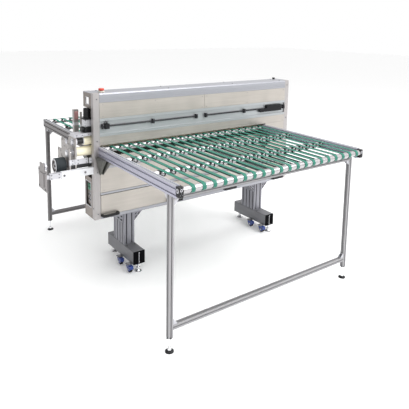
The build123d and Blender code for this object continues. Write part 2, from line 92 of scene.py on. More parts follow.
# Painted shade, in part: the infeed rails' and legs' tone is aluminium made much darker to stand for the
# shade on them.
INFEED_ALUMINIUM_AND_SHADE = ((0.200, 0.190, 0.193), 0.42, 0.50)
# Painted light: the rails' top faces get a lighter tone than their sides, for the light falling on them.
RAIL_TOP_LIT = ((0.480, 0.495, 0.530), 0.32, 0.50)
# Painted shade, in part: the tone of the columns, base beam and gussets is aluminium made darker to stand for
# the shade on them.
COLUMN_ALUMINIUM_AND_SHADE = ((0.270, 0.270, 0.300), 0.38, 0.50)
# Painted shade: near black for the faces inside the columns' slots, where shade falls.
SLOT_SHADE = ((0.060, 0.060, 0.070), 0.60, 0.30)
GUSSET_SHADE = ((0.120, 0.120, 0.110), 0.50, 0.40)
PLATE_STEEL = ((0.360, 0.340, 0.330), 0.38, 0.70)
END_PLATE = ((0.280, 0.262, 0.262), 0.45, 0.50)
LIGHT_PLATE = ((0.560, 0.560, 0.590), 0.35, 0.45)
WHITE_PAINT = ((0.740, 0.745, 0.770), 0.35, 0.0)
CHROME = ((0.860, 0.860, 0.880), 0.14, 1.0)
ROLLER = ((0.430, 0.420, 0.430), 0.26, 0.75)
DARK_STEEL = ((0.030, 0.030, 0.034), 0.35, 0.60)
BLACK = ((0.010, 0.010, 0.012), 0.45, 0.0)
BLACK_MATT = ((0.004, 0.004, 0.005), 0.80, 0.0)
SLATE = ((0.018, 0.024, 0.028), 0.65, 0.0)
CREAM = ((0.900, 0.840, 0.630), 0.50, 0.0)
BELT = ((0.005, 0.150, 0.102), 0.50, 0.0)
BELT_INSIDE = ((0.006, 0.030, 0.024), 0.75, 0.0)
BEAM_GREY = ((0.215, 0.215, 0.230), 0.48, 0.35)
BLUE = ((0.005, 0.034, 0.215), 0.34, 0.0)
RED = ((0.560, 0.045, 0.020), 0.28, 0.0)
PALE_PLASTIC = ((0.620, 0.600, 0.520), 0.45, 0.0)
TERMINAL_GREEN = ((0.015, 0.210, 0.110), 0.45, 0.0)
PINK_MARK = ((0.380, 0.200, 0.200), 0.45, 0.2)
FLOOR = ((0.930, 0.930, 0.930), 0.85, 0.0)
AXIS_INDEX = {"X": 0, "Y": 1, "Z": 2}


def link(tree, output, target):
    tree.links.new(output, target)


def maths(tree, operation, first, second=0.0):
    """A math node; each input is a number or another node's output."""
    node = tree.nodes.new("ShaderNodeMath")
    node.operation = operation
    for socket, value in zip(node.inputs, (first, second)):
        if isinstance(value, (int, float)):
            socket.default_value = value
        else:
            link(tree, value, socket)
    return node.outputs[0]


def coordinates(tree):
    """The object's own X, Y and Z, which are the row's at rest."""
    place = tree.nodes.new("ShaderNodeTexCoord")
    split = tree.nodes.new("ShaderNodeSeparateXYZ")
    link(tree, place.outputs["Object"], split.inputs[0])
    return place.outputs["Object"], split.outputs


def inside(tree, xyz, rule):
    """1 where a rule holds: ("above", axis, limit), ("below", axis, limit), ("within", axis, centre,
    radius), which is a cylinder about a line along the axis, ("block", centre, half_size), or
    ("loop", centre, half_length, radius), which is the space inside a belt that runs along Y."""
    if rule[0] == "block":
        found = 1.0
        for i, half in enumerate(rule[2]):
            distance = maths(tree, "ABSOLUTE", maths(tree, "SUBTRACT", xyz[i], rule[1][i]))
            found = maths(tree, "MULTIPLY", maths(tree, "LESS_THAN", distance, half), found)
        return found
    if rule[0] == "loop":
        along = maths(tree, "ABSOLUTE", maths(tree, "SUBTRACT", xyz[1], rule[1][1]))
        beyond = maths(tree, "MAXIMUM", maths(tree, "SUBTRACT", along, rule[2]), 0.0)
        height = maths(tree, "SUBTRACT", xyz[2], rule[1][2])
        squares = [maths(tree, "MULTIPLY", offset, offset) for offset in (beyond, height)]
        return maths(tree, "LESS_THAN", maths(tree, "ADD", *squares), rule[3] ** 2)
    if rule[0] == "above":
        return maths(tree, "GREATER_THAN", xyz[AXIS_INDEX[rule[1]]], rule[2])
    if rule[0] == "below":
        return maths(tree, "LESS_THAN", xyz[AXIS_INDEX[rule[1]]], rule[2])
    others = [i for i in range(3) if i != AXIS_INDEX[rule[1]]]
    offsets = [maths(tree, "SUBTRACT", xyz[i], rule[2][i]) for i in others]
    squares = [maths(tree, "MULTIPLY", offset, offset) for offset in offsets]
    total = maths(tree, "ADD", *squares)
    return maths(tree, "LESS_THAN", total, rule[3] ** 2)


def blend_colours(tree, factor, first, second, operation="MIX"):
    node = tree.nodes.new("ShaderNodeMix")
    node.data_type = "RGBA"
    node.blend_type = operation
    for socket, value in zip((node.inputs[0], node.inputs[6], node.inputs[7]), (factor, first, second)):
        if isinstance(value, (tuple, float, int)):
            socket.default_value = (*value, 1) if isinstance(value, tuple) else value
        else:
            link(tree, value, socket)
    return node.outputs[2]


def material(name, tone, grain=(1, 1, 1), scale=60, vary=0.08, bump=0.0, zones=(), coat=0.0,
             smudge=0.0, specular=0.5):
    """A surface of one tone, with other tones in the zones given, and a fine stretched grain."""
    made = bpy.data.materials.new(name)
    made.use_nodes = True
    tree = made.node_tree
    shader = tree.nodes["Principled BSDF"]
    colour, roughness, metallic = tone
    vector, xyz = coordinates(tree)
    if zones:
        colour_now = colour
        levels = [roughness, metallic]
        for rule, zone_tone in zones:
            mask = inside(tree, xyz, rule)
            colour_now = blend_colours(tree, mask, colour_now, zone_tone[0])
            for i, value in enumerate(zone_tone[1:]):
                change = maths(tree, "SUBTRACT", value, levels[i])
                levels[i] = maths(tree, "ADD", levels[i], maths(tree, "MULTIPLY", change, mask))
        colour = colour_now
        roughness, metallic = levels
        link(tree, metallic, shader.inputs["Metallic"])
    else:
        shader.inputs["Metallic"].default_value = metallic
    shader.inputs["Coat Weight"].default_value = coat
    shader.inputs["Specular IOR Level"].default_value = specular
    stretch = tree.nodes.new("ShaderNodeMapping")
    stretch.inputs["Scale"].default_value = grain
    noise = tree.nodes.new("ShaderNodeTexNoise")
    noise.inputs["Scale"].default_value = scale
    noise.inputs["Detail"].default_value = 4.0
    link(tree, vector, stretch.inputs["Vector"])
    link(tree, stretch.outputs[0], noise.inputs["Vector"])
    spread = maths(tree, "MULTIPLY", maths(tree, "SUBTRACT", noise.outputs[0], 0.5), 2.0)
    factor = maths(tree, "ADD", maths(tree, "MULTIPLY", spread, vary), 1.0)
    if smudge:
        broad = tree.nodes.new("ShaderNodeTexNoise")
        broad.inputs["Scale"].default_value = 4.5
        broad.inputs["Detail"].default_value = 2.0
        link(tree, vector, broad.inputs["Vector"])
        broad_spread = maths(tree, "MULTIPLY", maths(tree, "SUBTRACT", broad.outputs[0], 0.5), 2.0 * smudge)
        factor = maths(tree, "ADD", factor, broad_spread)
    grey = tree.nodes.new("ShaderNodeCombineColor")
    for socket in grey.inputs[:3]:
        link(tree, factor, socket)
    shaded = blend_colours(tree, 1.0, colour, grey.outputs[0], "MULTIPLY")
    link(tree, shaded, shader.inputs["Base Color"])
    uneven = maths(tree, "MULTIPLY", spread, vary * 0.8)
    link(tree, maths(tree, "ADD", roughness, uneven), shader.inputs["Roughness"])
    if bump:
        relief = tree.nodes.new("ShaderNodeBump")
        relief.inputs["Strength"].default_value = bump
        relief.inputs["Distance"].default_value = 0.0006
        link(tree, noise.outputs[0], relief.inputs["Height"])
        link(tree, relief.outputs[0], shader.inputs["Normal"])
    return made


ALONG_X = (0.03, 1, 1)
ALONG_Y = (1, 0.03, 1)
ALONG_Z = (1, 1, 0.03)


def dress(made, *nodes):
    """Give CAD nodes a material."""
    for node in nodes:
        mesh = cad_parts[node].data
        mesh.materials.clear()
        mesh.materials.append(made)


def dress_housing():
    dress(material("brushed_stainless", STAINLESS, ALONG_X, 130, 0.13, 0.25, smudge=0.22),
          "upper_front_covers", "front_panels", "lower_door", "rear_covers")
    # The end covers' darker stainless tone is partly painted shade.
    dress(material("end_stainless_shaded", STAINLESS_END_AND_SHADE, ALONG_Z, 110, 0.12, 0.2, smudge=0.25,
                   zones=[(("above", "Z", housing_top - 4 * MM), ALUMINIUM)]), "end_covers")
    dress(material("rail_aluminium_x", ALUMINIUM, ALONG_X, 120, 0.05, 0.1), "top_rail", "front_ribs")
    dress(material("channel_aluminium", CHANNEL_ALUMINIUM, ALONG_X, 120, 0.05, 0.1), "slide_channel")
    # The posts' tone holds painted light, in part.
    dress(material("post_aluminium_lit", POST_ALUMINIUM_AND_LIGHT, ALONG_Z, 120, 0.06, 0.1, smudge=0.08), "end_posts")
    dress(material("inner_steel", PLATE_STEEL, ALONG_X, 90, 0.06), "inner_frame")
    dress(material("handle_black", BLACK, scale=400, vary=0.15, bump=0.2, specular=0.3), "door_handles")
    dress(material("rod_steel", DARK_STEEL, ALONG_X, 200, 0.10), "guide_rods")
    dress(material("carriage_black", BLACK, scale=350, vary=0.2, bump=0.3, specular=0.3),
          "left_carriage", "right_carriage")
    dress(material("screw_steel", PLATE_STEEL, scale=300), "panel_screws")


def dress_tables():
    # Painted light: a lighter tone on the rails' top faces.
    lit_rail_top = [(("above", "Z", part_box("outfeed_rails")[1].z - 1.5 * MM), RAIL_TOP_LIT)]
    # The outfeed rails' tone holds painted light, in part.
    dress(material("outfeed_rail", RAIL_ALUMINIUM_AND_LIGHT, ALONG_Y, 130, 0.05, 0.1, zones=lit_rail_top), "outfeed_rails")
    # The infeed rails' and legs' tone holds painted shade, in part.
    dress(material("infeed_rail", INFEED_ALUMINIUM_AND_SHADE, ALONG_Y, 130, 0.05, 0.1, zones=lit_rail_top), "infeed_rails")
    # The outfeed legs' tone holds painted shade, in part.
    dress(material("outfeed_leg_shaded", LEG_ALUMINIUM_AND_SHADE, ALONG_Z, 130, 0.06, 0.1), "outfeed_stand")
    dress(material("infeed_leg_shaded", INFEED_ALUMINIUM_AND_SHADE, ALONG_Z, 130, 0.06, 0.1), "infeed_stand")
    dress(material("roller_steel", ROLLER, ALONG_X, 200, 0.05), "outfeed_end_roller", "infeed_end_roller",
          "outfeed_inner_roller", "infeed_inner_roller")
    bracket_black = material("bracket_black", BLACK, scale=300, vary=0.2, bump=0.25, specular=0.3)
    dress(bracket_black, "roller_end_brackets")
    for table in table_names:
        node = f"{table}_belts"
        low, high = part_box(node)
        inside_radius = (high.z - low.z) / 2 - 1 * MM
        half_length = (high.y - low.y) / 2 - (high.z - low.z) / 2
        hollow = [(("loop", (low + high) / 2, half_length, inside_radius), BELT_INSIDE)]
        dress(material(node + "_rubber", BELT, ALONG_Y, 260, 0.20, 0.35, zones=hollow, smudge=0.10), node)
        for number in (1, 2):
            node = f"{table}_idler_{number}"
            smooth_part = [(("within", "X", centre_of(node), 19.6 * MM), ROLLER)]
            dress(material(node + "_steel", BLACK, ALONG_X, 200, 0.06, zones=smooth_part), node)


def dress_drive():
    for node in ("lower_nip_roller", "upper_nip_roller"):
        shaft = [(("within", "X", centre_of(node), 13 * MM), CHROME)]
        dress(material(node + "_cream", CREAM, ALONG_X, 90, 0.05, 0.1, zones=shaft, smudge=0.05), node)
    hub = [(("within", "X", centre_of("drive_drum"), 40.5 * MM), PLATE_STEEL)]
    dress(material("drum_slate", SLATE, ALONG_X, 200, 0.15, 0.3, zones=hub, specular=0.3), "drive_drum")
    dress(material("outrigger_white", WHITE_PAINT, scale=80, vary=0.02,
                   zones=[(("below", "X", left - 222 * MM), LIGHT_PLATE)]), "outrigger_beam")
    plate_zones = [(("above", "Z", 1.0735), LIGHT_PLATE), (("above", "Z", 1.0965), PLATE_STEEL),
                   (("block", at(-80, 44, 906), (85 * MM, 15 * MM, 20 * MM)), LIGHT_PLATE),
                   (("below", "X", left - 325 * MM), END_PLATE)]
    plate_steel = material("plate_steel", PLATE_STEEL, scale=45, vary=0.14, bump=0.1, zones=plate_zones,
                           smudge=0.2)
    dress(plate_steel, "side_plates")
    motor_zones = [(("below", "Z", 1.186), LIGHT_PLATE), (("below", "Z", 1.137), BLACK),
                   (("below", "X", left - 38.5 * MM), BLACK)]
    motor_finish = material("head_motor_finish", BLACK, scale=200, vary=0.1, zones=motor_zones, specular=0.3)
    dress(motor_finish, "head_motor")
    dress(material("drive_motor_finish", BLACK, scale=200, vary=0.1), "main_drive_motor")


def dress_base():
    low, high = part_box("columns")
    depth = (high.y - low.y) / 2 - 2 * MM
    # Painted shade: the faces inside the columns' slots get a near-black tone.
    shaded_slots = []
    for x in (low.x + COLUMN_HALF * MM, high.x - COLUMN_HALF * MM):
        section = Vector((x, (low.y + high.y) / 2, 0.3))
        shaded_slots.append((("block", section, (43 * MM, depth, 1)), SLOT_SHADE))
    # The tone of the columns, base beam and gussets holds painted shade, in part.
    dress(material("column_aluminium_shaded", COLUMN_ALUMINIUM_AND_SHADE, ALONG_Z, 130, 0.05, 0.1, zones=shaded_slots), "columns")
    dress(material("base_beam_aluminium", COLUMN_ALUMINIUM_AND_SHADE, ALONG_X, 130, 0.05, 0.1), "base_beam")
    under_rail = [(("above", "Z", 0.6), GUSSET_SHADE)]
    dress(material("gusset_aluminium", COLUMN_ALUMINIUM_AND_SHADE, scale=90, vary=0.06, bump=0.1, zones=under_rail),
          "gusset_brackets")
    dress(material("foot_beam_grey", BEAM_GREY, ALONG_Y, 120, 0.12, 0.15, smudge=0.15), "foot_beams")
    dress(material("cap_black", BLACK_MATT, scale=300, vary=0.1, specular=0.03), "foot_beam_caps")
    for number in range(1, 5):
        wheel, foot = f"caster_wheel_{number}", f"pedestal_foot_{number}"
        caster_blue = material(f"caster_blue_{number}", BLUE, scale=120, vary=0.08, coat=0.4)
        dress(caster_blue, f"caster_fork_{number}")
        hub = [(("within", "X", centre_of(wheel), 13 * MM), PLATE_STEEL)]
        dress(material(wheel + "_rubber", BLACK_MATT, scale=300, zones=hub, specular=0.3), wheel)
        pad = [(("above", "Z", 5 * MM), CHROME)]
        dress(material(foot + "_finish", BLACK, scale=200, zones=pad), foot)
    for table in table_names:
        for side in ("left", "right"):
            foot = f"{table}_{side}_foot"
            stem = [(("within", "Z", centre_of(foot), 12 * MM), CHROME)]
            dress(material(foot + "_finish", BLACK, scale=200, zones=stem, specular=0.3), foot)
    dress(material("stop_red", RED, scale=80, vary=0.04, coat=0.6,
                   zones=[(("below", "Z", housing_top + 13 * MM), BLACK)]), "emergency_stop_button")
    dress(material("fitting_plastic", PALE_PLASTIC, scale=80, vary=0.04,
                   zones=[(("above", "X", left + 0.5), BLACK)]), "top_fittings")


# ---------------------------------------------------------------- shapes for the detail pieces
TURN = {"X": Matrix.Rotation(math.pi / 2, 4, "Y"), "Y": Matrix.Rotation(-math.pi / 2, 4, "X"), "Z": Matrix()}


def ring_of(bm, place, radius, along, sides, count):
    """One ring of points; with six sides the ring is a hexagon of that inner radius."""
    if radius == 0:
        return [bm.verts.new(place @ Vector((0, 0, along)))]
    points = []
    for i in range(count):
        angle = 2 * math.pi * i / count
        reach = radius
        if sides:
            half = math.pi / sides
            reach = radius / math.cos((angle % (2 * half)) - half)
        points.append(bm.verts.new(place @ Vector((reach * math.cos(angle), reach * math.sin(angle), along))))
    return points


def lathe(bm, centre, axis, outline, direction=1, closed=False, count=36):
    """Turn an outline of (distance, radius) or (distance, radius, sides) points, in millimetres."""
    place = Matrix.Translation(centre) @ TURN[axis] @ Matrix.Scale(direction, 4, (0, 0, 1))
    rings = [ring_of(bm, place, point[1] * MM, point[0] * MM, point[2] if len(point) > 2 else 0, count)
             for point in outline]
    if closed:
        rings.append(rings[0])
    for low, high in zip(rings, rings[1:]):
        for i in range(count):
            j = (i + 1) % count
            corners = [low[i % len(low)], low[j % len(low)], high[j % len(high)], high[i % len(high)]]
            corners = list(dict.fromkeys(corners))
            if len(corners) > 2:
                bm.faces.new(corners)


def socket_screw(bm, centre, axis, radius, height, direction=1):
    """A cap screw's head with a hexagon socket, standing on a face."""
    lathe(bm, centre, axis, [(-0.2, 0), (-0.2, radius), (height * 0.85, radius), (height, radius * 0.86),
                             (height, radius * 0.5, 6), (height * 0.45, radius * 0.5, 6), (height * 0.45, 0)],
          direction, count=24)


def hexagon_nut(bm, centre, axis, radius, bore, height, direction=1):
    """A nut with chamfered ends."""
    outline = [(0, bore), (0, radius * 0.95), (height * 0.12, radius, 6), (height * 0.88, radius, 6)]
    outline += [(height, radius * 0.95), (height, bore)]
    lathe(bm, centre, axis, outline, direction, closed=True)


def bevelled_block(bm, low, high, width=1.0):
    """A block between two corners with rounded edges."""
    size = high - low
    place = Matrix.Translation((low + high) / 2) @ Matrix.Diagonal((*size, 1))
    made = bmesh.ops.create_cube(bm, size=1, matrix=place)
    edges = list({edge for vert in made["verts"] for edge in vert.link_edges})
    bmesh.ops.bevel(bm, geom=edges, offset=width * MM, segments=3, profile=0.5, affect="EDGES")


def prism(bm, outline, place, depth):
    """Extrude a flat outline, given in millimetres in a plane, by a depth in millimetres."""
    near = [bm.verts.new(place @ Vector((x * MM, y * MM, 0))) for x, y in outline]
    far = [bm.verts.new(place @ Vector((x * MM, y * MM, depth * MM))) for x, y in outline]
    bm.faces.new(list(reversed(near)))
    bm.faces.new(far)
    for i in range(len(outline)):
        j = (i + 1) % len(outline)
        bm.faces.new([near[i], near[j], far[j], far[i]])


def add_piece(name, bm, made, body=root, smooth_angle=35):
    """Turn a bmesh into a shown piece that rides on a body."""
    bmesh.ops.recalc_face_normals(bm, faces=bm.faces)
    mesh = bpy.data.meshes.new(name)
    bm.to_mesh(mesh)
    bm.free()
    mesh.shade_smooth()
    mesh.set_sharp_from_angle(angle=math.radians(smooth_angle))
    obj = bpy.data.objects.new(name, mesh)
    bpy.context.scene.collection.objects.link(obj)
    mesh.materials.append(made)
    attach(obj, body)


# ---------------------------------------------------------------- detail pieces
def corner_bracket(bm, corner, across, down, size=28, width=26):
    """A cast angle bracket in the corner of two profiles: two plates and two side webs.
    across and down are the axes, each with a sign, that the plates run along."""
    side = across.cross(down)
    turn = Matrix((across, down, side)).transposed().to_4x4()
    place = Matrix.Translation(corner - side * (width / 2) * MM) @ turn
    prism(bm, [(0, 0), (size, 0), (size, 4), (4, 4), (4, size), (0, size)], place, width)
    web = [(3, 3), (size, 3), (size, 6), (6, size), (3, size)]
    for start in (0, width - 3):
        prism(bm, web, place @ Matrix.Translation((0, 0, start * MM)), 3)


def screw_on(bm, centre, normal, radius=4, height=4):
    """A cap screw whose axis is one of the row's, pointing along the normal."""
    axis, sign = max(zip("XYZ", normal), key=lambda pair: abs(pair[1]))
    socket_screw(bm, centre, axis, radius, height, 1 if sign > 0 else -1)


def add_table_hardware(bright, black, screws):
    rail_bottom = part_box("outfeed_rails")[0].z
    for table in table_names:
        brackets = bmesh.new()
        bolts = bmesh.new()
        caps = bmesh.new()
        stand_low, stand_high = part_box(f"{table}_stand")
        leg_y = stand_low.y + 15 * MM if table == "outfeed" else stand_high.y - 15 * MM
        inward = Vector((0, 1 if table == "outfeed" else -1, 0))
        rail_x = (stand_low.x + 15 * MM, stand_high.x - 15 * MM)
        for x, to_inside in zip(rail_x, (1, -1)):
            corner = Vector((x, leg_y, rail_bottom)) + inward * 15 * MM
            corner_bracket(brackets, corner, inward, Vector((0, 0, -1)))
            screw_on(bolts, corner + inward * 4 * MM + Vector((0, 0, -17 * MM)), inward)
            screw_on(bolts, corner + inward * 17 * MM + Vector((0, 0, -4 * MM)), Vector((0, 0, -1)))
            along = Vector((to_inside, 0, 0))
            low_corner = Vector((x, leg_y, CROSSBAR_TOP * MM)) + along * 15 * MM
            corner_bracket(brackets, low_corner, along, Vector((0, 0, 1)))
            screw_on(bolts, low_corner + along * 4 * MM + Vector((0, 0, 17 * MM)), along)
            screw_on(bolts, low_corner + along * 17 * MM + Vector((0, 0, 4 * MM)), Vector((0, 0, 1)))
            high_corner = Vector((x, leg_y, rail_bottom - 30 * MM)) + along * 15 * MM
            corner_bracket(brackets, high_corner, along, Vector((0, 0, -1)))
            screw_on(bolts, high_corner + along * 4 * MM + Vector((0, 0, -17 * MM)), along)
            cap_outline = [(-4, 7), (-4, 14, 4), (0, 15, 4), (0, 7)]
            lathe(caps, Vector((x, leg_y, LEG_BOTTOM * MM)), "Z", cap_outline, closed=True, count=32)
        add_piece(f"{table}_corner_brackets", brackets, bright)
        add_piece(f"{table}_bracket_screws", bolts, screws)
        add_piece(f"{table}_leg_caps", caps, black)


def add_roller_bracket_details(bright, screws):
    """A bearing ring and screws on the outer and end faces of each end roller's block."""
    rings = bmesh.new()
    bolts = bmesh.new()
    block_low, block_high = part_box("roller_end_brackets")
    side_ring = [(0, 6), (0, 13), (1.2, 12.5), (1.8, 10), (1, 9), (2, 8), (2, 6)]
    end_ring = [(-1, 5), (-1, 8.5), (0.6, 8.5), (1.2, 7.5), (1.2, 5)]
    for table, outward in zip(table_names, (-1, 1)):
        roller = centre_of(f"{table}_end_roller")
        end_y = block_low.y if outward < 0 else block_high.y
        for x, side in ((block_low.x, -1), (block_high.x, 1)):
            axis_end = Vector((x, roller.y, roller.z))
            lathe(rings, axis_end, "X", side_ring, side, closed=True)
            for dz in (-24, 18):
                screw_on(bolts, axis_end + Vector((0, 0, dz * MM)), Vector((side, 0, 0)), 3.2, 2)
            centre_x = x - side * 13 * MM
            face = Vector((centre_x, end_y, roller.z))
            lathe(rings, face + Vector((0, 0, 6 * MM)), "Y", end_ring, outward, closed=True, count=24)
            for dx, dz in ((-7, -20), (7, -20), (-7, 19), (7, 19), (0, -10)):
                socket_screw(bolts, face + Vector((dx * MM, 0, dz * MM)), "Y", 2.8, 1.4, outward)
    add_piece("roller_bearing_faces", rings, bright)
    add_piece("roller_bracket_screws", bolts, screws)


def add_housing_details(bright, black, screws, pale):
    bolts = bmesh.new()
    for x, side in ((25, 1), (1817, -1)):
        for z in (520, 820, 1040, 1330):
            screw_on(bolts, at(x, 0, z), Vector((0, -1, 0)), 4.5, 2.4)
    for z in (820, 560):
        screw_on(bolts, at(0, 20, z), Vector((-1, 0, 0)), 5, 2.5)
    for place in (84, 610, 1220, 1750):
        screw_on(bolts, at(place, 30, housing_top / MM), Vector((0, 0, 1)), 5, 3)
        screw_on(bolts, at(place, 145, housing_top / MM), Vector((0, 0, 1)), 5, 3)
    handle_low, handle_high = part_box("door_handles")
    door_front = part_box("lower_door")[0].y
    pitch = (handle_high.x - handle_low.x - HANDLE_WIDTH * MM) / 3
    handle_centres = [handle_low.x + HANDLE_WIDTH / 2 * MM + index * pitch for index in range(4)]
    flanges = bmesh.new()
    handle_screws = bmesh.new()
    for x in handle_centres:
        for side in (-1, 1):
            foot = Vector((x + side * 58 * MM, door_front, (handle_low.z + handle_high.z) / 2))
            lathe(flanges, foot, "Y", [(0, 0), (0, 9), (1.5, 9), (4, 7.5), (5, 0)], -1)
            screw_on(handle_screws, foot + Vector((0, -5 * MM, 0)), Vector((0, -1, 0)), 4, 0.8)
    add_piece("door_handle_feet", flanges, black, "door")
    add_piece("door_handle_screws", handle_screws, screws, "door")
    frame_strip = bmesh.new()
    for low, high in (((-2, 66, 1286), (0, 128, 1290)), ((-2, 66, 1335), (0, 128, 1339)),
                      ((-2, 68, 1290), (0, 72, 1335)), ((-2, 122, 1290), (0, 126, 1335))):
        bevelled_block(frame_strip, at(*low), at(*high), 0.6)
    for low, high in (((-2, 56, 554), (0, 154, 560)), ((-2, 56, 735), (0, 154, 741)),
                      ((-2, 56, 560), (0, 62, 735)), ((-2, 148, 560), (0, 154, 735))):
        bevelled_block(frame_strip, at(*low), at(*high), 0.6)
    add_piece("window_frames", frame_strip, bright)
    for z in (1275, 1355, 500, 752):
        screw_on(bolts, at(0, 50, z), Vector((-1, 0, 0)), 3.5, 2)
        screw_on(bolts, at(0, 160, z), Vector((-1, 0, 0)), 3.5, 2)
    add_piece("housing_screws", bolts, screws)
    collar = bmesh.new()
    base = at(82, 50, housing_top / MM + 9.5)
    lathe(collar, base, "Z", [(0, 11.5), (0, 21), (0.3, 20.5), (0.4, 11.5)], closed=True)
    add_piece("stop_button_collar", collar, pale)


def add_sockets(green, black, bright):
    """Generic connectors on the recessed plate behind the lower left window."""
    plate_x = 12
    terminals = bmesh.new()
    for z in (700, 676):
        bevelled_block(terminals, at(plate_x - 9, 72, z), at(plate_x, 124, z + 18), 1)
    add_piece("terminal_blocks", terminals, green)
    sockets = bmesh.new()
    rims = bmesh.new()
    for y, z in ((84, 640), (114, 640), (84, 604), (114, 604)):
        lathe(rims, at(plate_x, y, z), "X", [(0, 9), (0, 14), (3, 14), (4, 12.5), (4, 9)], -1, closed=True)
        lathe(sockets, at(plate_x, y, z), "X", [(0, 0), (0, 9), (7, 9), (8, 8), (8, 5), (3, 5), (3, 0)], -1)
    for k in range(5):
        spot = at(plate_x - 9, 78 + 10 * k, 709)
        lathe(sockets, spot, "X", [(0, 0), (0, 3), (0.8, 3), (0.8, 0)], -1, count=16)
    add_piece("socket_rims", rims, bright)
    add_piece("socket_bodies", sockets, black)


def flanged_bearing(rings, bolts, centre, side, bore):
    """A round flange with a raised race and four screws, on a plate across X."""
    outline = [(0, bore), (0, 25), (3, 24.5), (4, 20), (4, bore + 6), (6, bore + 5), (6, bore)]
    lathe(rings, centre, "X", outline, side, closed=True)
    screw_circle = 22 * MM * 0.9
    for k in range(4):
        angle = math.pi / 4 + k * math.pi / 2
        around = (screw_circle * math.cos(angle), screw_circle * math.sin(angle))
        spot = centre + Vector((side * 4 * MM, *around))
        screw_on(bolts, spot, Vector((side, 0, 0)), 2.6, 2.2)


